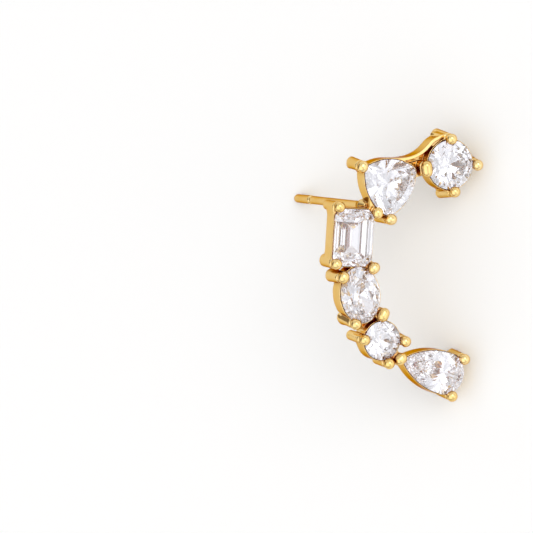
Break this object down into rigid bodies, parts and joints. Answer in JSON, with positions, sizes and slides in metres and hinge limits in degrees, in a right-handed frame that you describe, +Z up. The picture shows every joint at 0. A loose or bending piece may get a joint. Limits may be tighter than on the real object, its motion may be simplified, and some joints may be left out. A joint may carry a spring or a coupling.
{
  "type": "ear climber earring",
  "caption": "Ear climber: a gold frame of claw settings that curves up the ear and holds cut clear stones, with a straight post behind.",
  "frame": {"origin": "centre of the model's box on the surface that it rests on, in the pose in which it comes to rest with its stones showing", "axes": "+X from the pear-shaped stone's end to the round stone's end, +Y back towards the end of the post, +Z up"},
  "size_m": [0.019, 0.0156, 0.0103],
  "materials": {
    "gold": "polished yellow gold plating",
    "clear_stone": "clear cut cubic zirconia, polished facets"
  },
  "bodies": {
    "root": {"climber_frame": "gold", "round_stone": "clear_stone", "trillion_stone": "clear_stone", "emerald_stone": "clear_stone", "oval_stone": "clear_stone", "small_round_stone": "clear_stone", "pear_stone": "clear_stone"}
  },
  "joints": []
}
